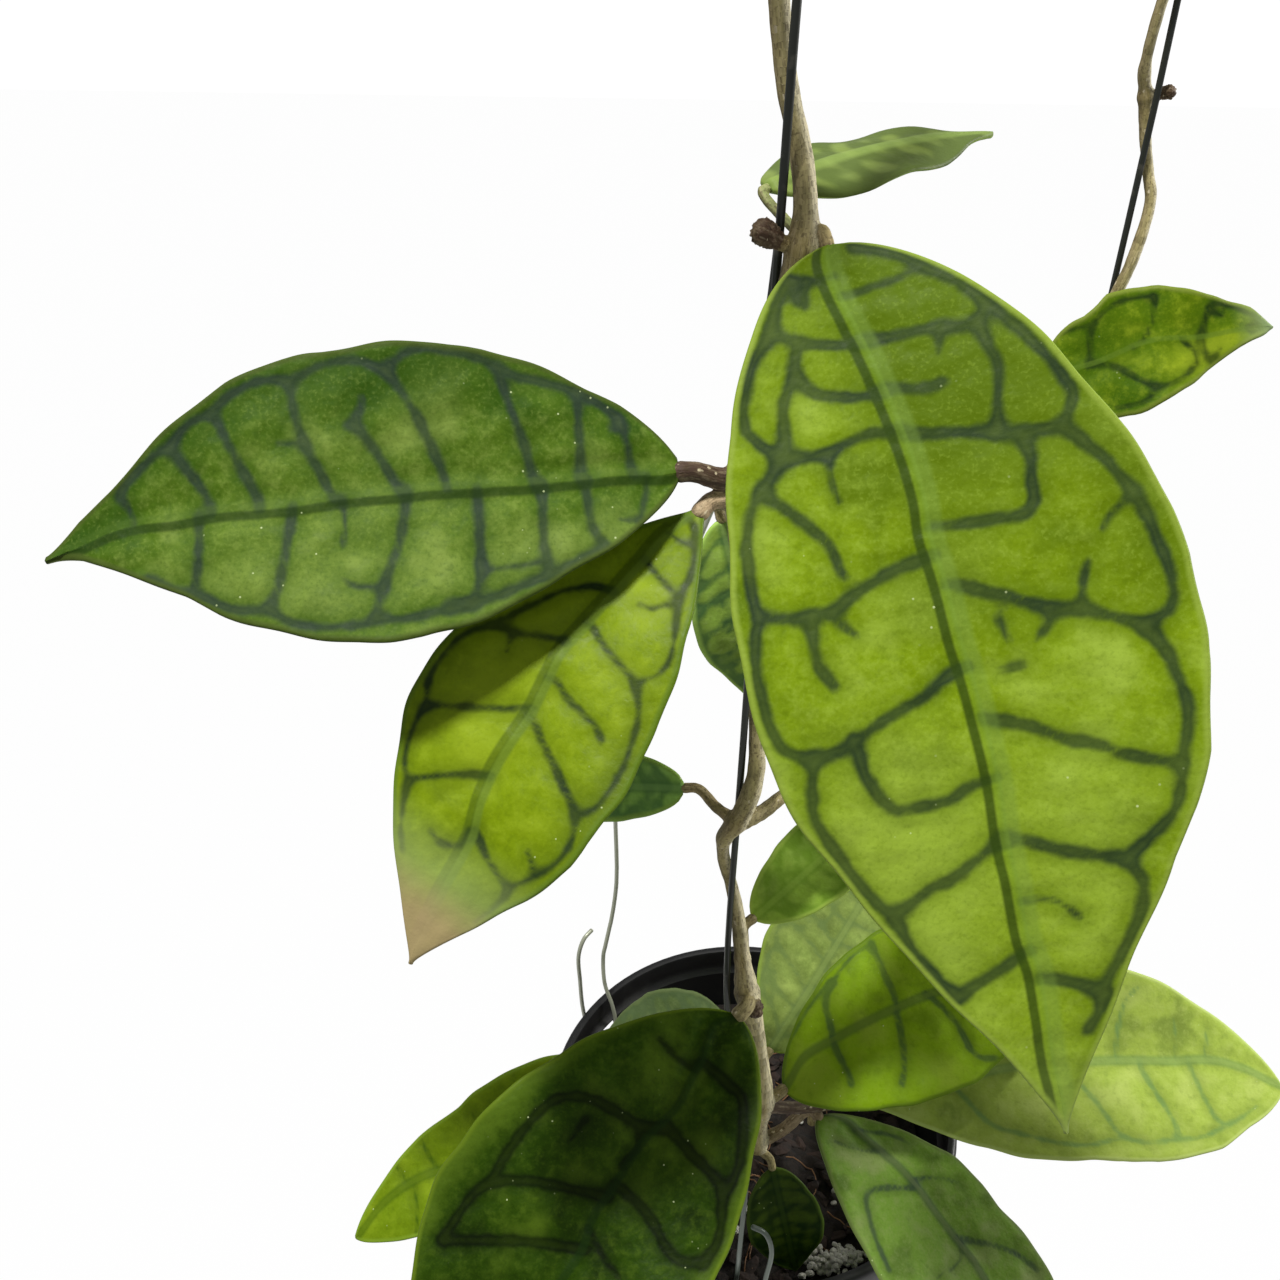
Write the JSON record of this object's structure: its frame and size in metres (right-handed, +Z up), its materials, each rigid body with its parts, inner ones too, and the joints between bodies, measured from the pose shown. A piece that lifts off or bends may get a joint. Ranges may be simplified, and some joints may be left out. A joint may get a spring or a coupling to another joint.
{
  "type": "hanging potted vine",
  "caption": "Hoya callistophylla with thick dark-veined leaves on woody stems twined up the wires of a hanging pot.",
  "frame": {"origin": "centre of the underside of the pot's base", "axes": "+Z up along the pot's axis to the hook, -Y towards the side that the largest leaves face"},
  "size_m": [0.2915, 0.2599, 0.6302],
  "materials": {
    "pot": "satin black moulded polypropylene",
    "mix": "loose bark, fibre and perlite",
    "wire": "dark galvanised drawn wire",
    "stem": "tan woody bark with lenticels",
    "leaf": "waxy green blade with dark raised veins"
  },
  "bodies": {
    "root": {"pot": "pot", "potting_mix": "mix", "hanger_wire_front": "wire", "hanger_wire_right": "wire", "hanger_wire_rear": "wire", "hanger_ferrule": "wire", "hanger_hook": "wire", "vine_front": "stem", "vine_right": "stem", "leaf_01": "leaf", "leaf_02": "leaf", "leaf_03": "leaf", "leaf_04": "leaf", "leaf_05": "leaf", "leaf_06": "leaf", "leaf_07": "leaf", "leaf_08": "leaf", "leaf_09": "leaf", "leaf_10": "leaf", "leaf_11": "leaf", "leaf_12": "leaf", "leaf_13": "leaf", "leaf_14": "leaf", "leaf_15": "leaf", "leaf_16": "leaf", "leaf_17": "leaf", "leaf_18": "leaf", "leaf_19": "leaf", "leaf_20": "leaf", "leaf_21": "leaf", "leaf_22": "leaf", "leaf_23": "leaf", "leaf_24": "leaf", "leaf_25": "leaf", "leaf_26": "leaf"}
  },
  "joints": []
}
